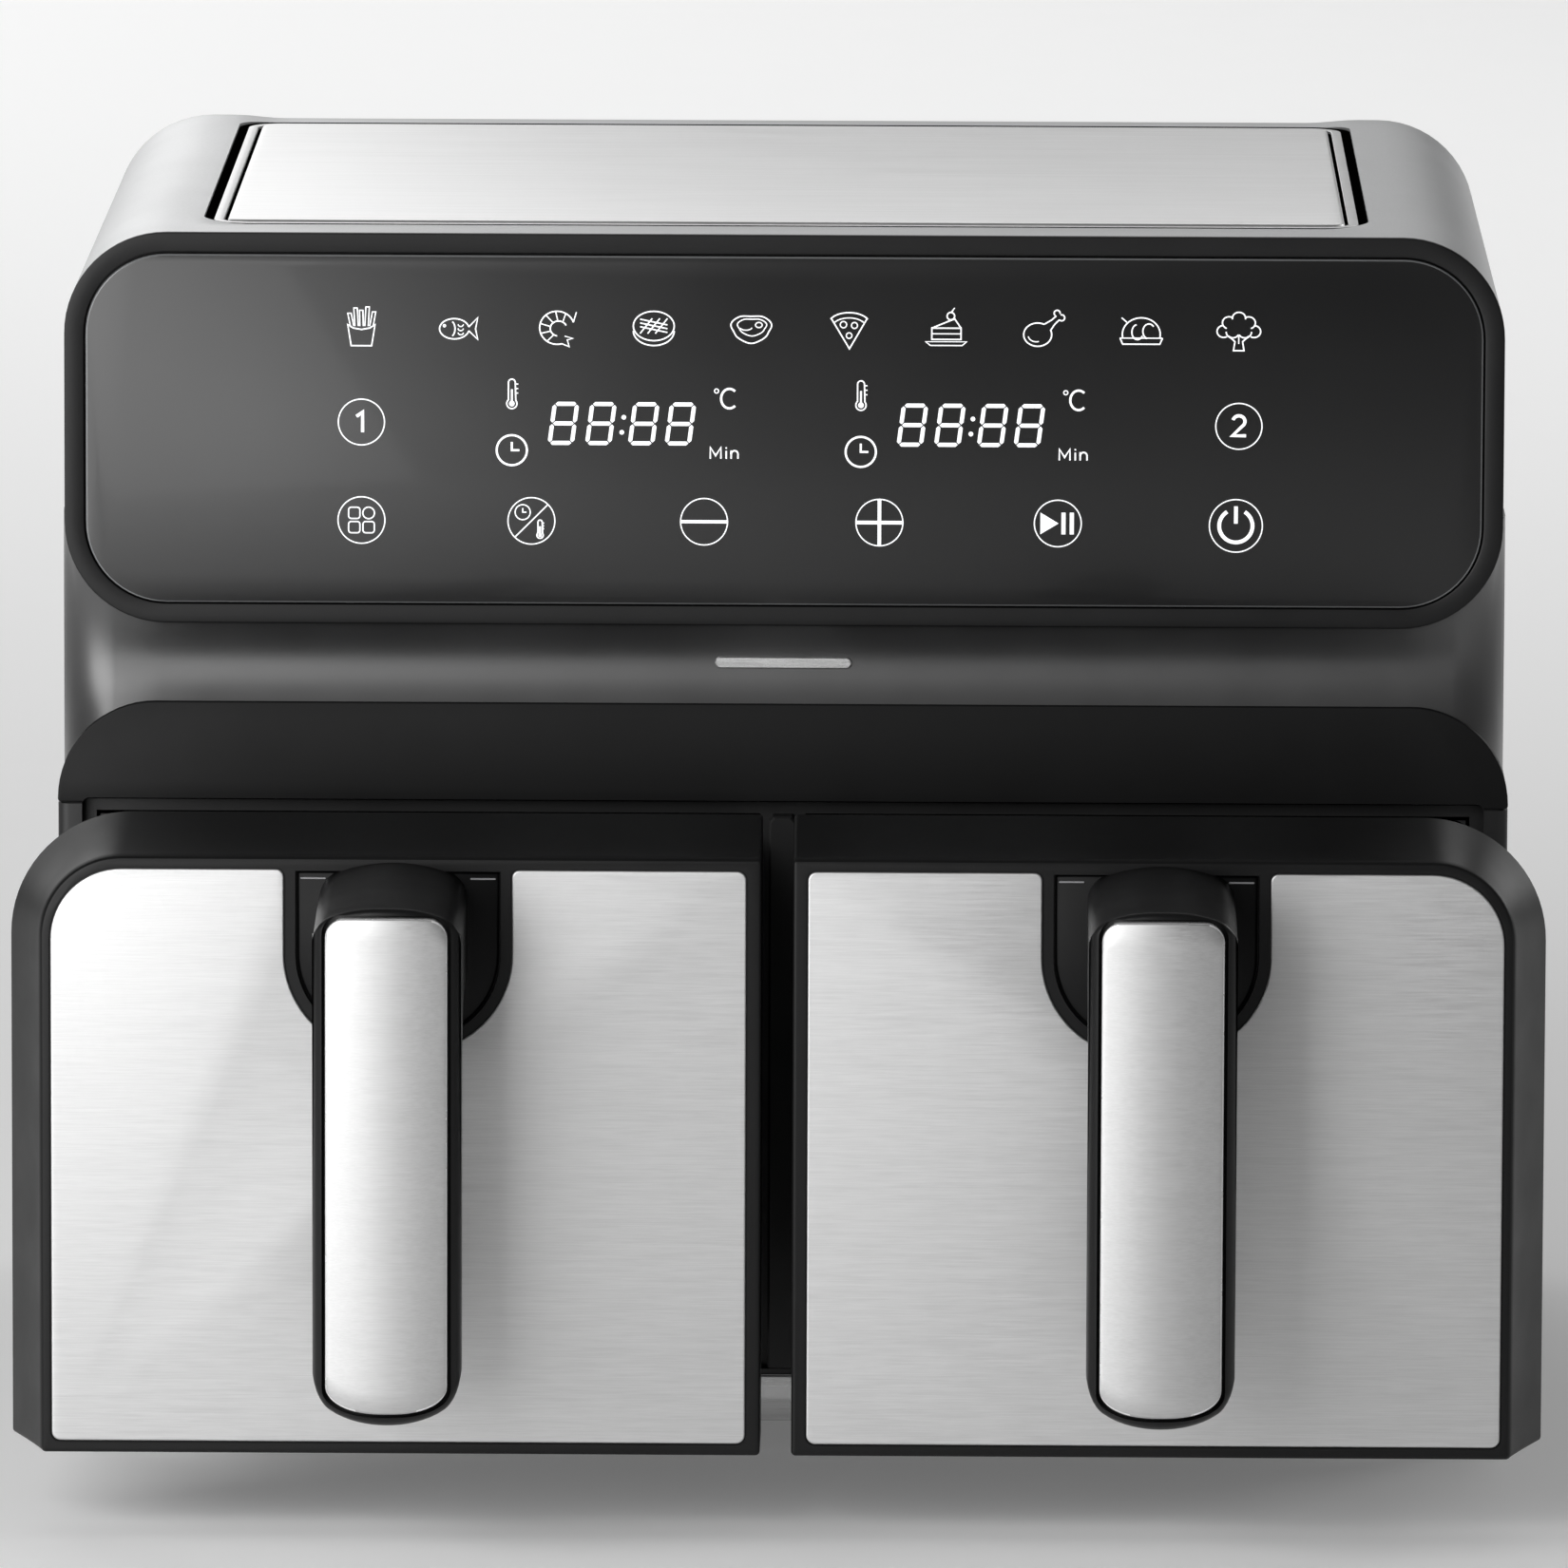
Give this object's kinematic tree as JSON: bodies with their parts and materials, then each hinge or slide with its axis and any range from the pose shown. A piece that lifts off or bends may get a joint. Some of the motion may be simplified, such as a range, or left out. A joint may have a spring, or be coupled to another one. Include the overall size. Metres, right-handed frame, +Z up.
{
  "type": "air fryer",
  "caption": "Dual-drawer air fryer with a silver shell, a glass touch panel, brushed steel drawer faces with bar handles, pans and lift-out crisper trays.",
  "frame": {"origin": "on the surface that the feet stand on, under the middle of the object's box with the drawers 92 mm open", "axes": "+Z up, +Y to the back of the housing, +X to the right as seen from the front"},
  "size_m": [0.398, 0.4794, 0.3252],
  "materials": {
    "badge_silver": "satin",
    "black_plastic": "fine matt",
    "black_trim": "matt",
    "brushed_steel": "fine horizontal brushing",
    "circuit_board": "solder mask",
    "dark_glass": "black printed glass, opaque",
    "element_steel": "oxidised steel sheath",
    "fan_aluminium": "stamped",
    "liner_sheet": "plain sheet",
    "magnet_nickel": "nickel plated",
    "motor_steel": "plain",
    "nonstick": "dark non-stick coating",
    "rubber": "matt",
    "screw_steel": "zinc plated",
    "sensor_white": "moulded",
    "shaft_steel": "ground",
    "silicone": "soft",
    "silver_paint": "satin silver paint on a moulded shell",
    "trim_silver": "satin",
    "zinc_plate": "zinc plated sheet"
  },
  "bodies": {
    "housing": {"top_shell": "silver_paint", "top_seat": "black_trim", "top_trim_ring": "trim_silver", "top_plate": "brushed_steel", "front_housing": "black_plastic", "control_glass": "dark_glass", "front_badge": "badge_silver", "lower_body": "black_plastic", "base_trim": "brushed_steel", "base_pan": "black_plastic", "feet": "rubber", "rear_cover": "black_plastic", "cord_gland": "black_plastic", "control_board": "circuit_board", "power_board": "circuit_board", "motor_deck": "zinc_plate", "housing_screws": "screw_steel", "left_cavity": "liner_sheet", "right_cavity": "liner_sheet", "left_heating_element": "element_steel", "right_heating_element": "element_steel", "left_element_guard": "shaft_steel", "right_element_guard": "shaft_steel", "left_motor": "motor_steel", "right_motor": "motor_steel", "left_temperature_sensor": "sensor_white", "right_temperature_sensor": "sensor_white", "left_drawer_sensor": "sensor_white", "right_drawer_sensor": "sensor_white"},
    "left_fan": {"left_fan_shaft": "shaft_steel", "left_hot_air_fan": "fan_aluminium", "left_cooling_fan": "sensor_white"},
    "left_drawer": {"left_drawer_front": "black_plastic", "left_rear_plate": "black_plastic", "left_face_panel": "brushed_steel", "left_handle_plate": "black_trim", "left_handle": "black_plastic", "left_handle_cap": "brushed_steel", "left_handle_screws": "screw_steel", "left_drawer_magnet": "magnet_nickel", "left_pan": "nonstick"},
    "left_tray": {"left_crisper_tray": "nonstick", "left_tray_bumpers": "silicone"},
    "right_fan": {"right_fan_shaft": "shaft_steel", "right_hot_air_fan": "fan_aluminium", "right_cooling_fan": "sensor_white"},
    "right_drawer": {"right_drawer_front": "black_plastic", "right_rear_plate": "black_plastic", "right_face_panel": "brushed_steel", "right_handle_plate": "black_trim", "right_handle": "black_plastic", "right_handle_cap": "brushed_steel", "right_handle_screws": "screw_steel", "right_drawer_magnet": "magnet_nickel", "right_pan": "nonstick"},
    "right_tray": {"right_crisper_tray": "nonstick", "right_tray_bumpers": "silicone"}
  },
  "joints": [
    {"name": "left_drawer_slide", "type": "slide", "parent": "housing", "child": "left_drawer", "axis": [0, -1, 0], "range_m": [-0.092, 0.15]},
    {"name": "left_tray_lift", "type": "slide", "parent": "left_drawer", "child": "left_tray", "axis": [0, 0, 1], "range_m": [0, 0.1]},
    {"name": "left_fan_spin", "type": "hinge", "parent": "housing", "child": "left_fan", "pos_m": [-0.094, 0.05775, 0.205], "axis": [0, 0, 1], "continuous": true},
    {"name": "right_drawer_slide", "type": "slide", "parent": "housing", "child": "right_drawer", "axis": [0, -1, 0], "range_m": [-0.092, 0.15]},
    {"name": "right_tray_lift", "type": "slide", "parent": "right_drawer", "child": "right_tray", "axis": [0, 0, 1], "range_m": [0, 0.1]},
    {"name": "right_fan_spin", "type": "hinge", "parent": "housing", "child": "right_fan", "pos_m": [0.094, 0.05775, 0.205], "axis": [0, 0, 1], "continuous": true}
  ]
}
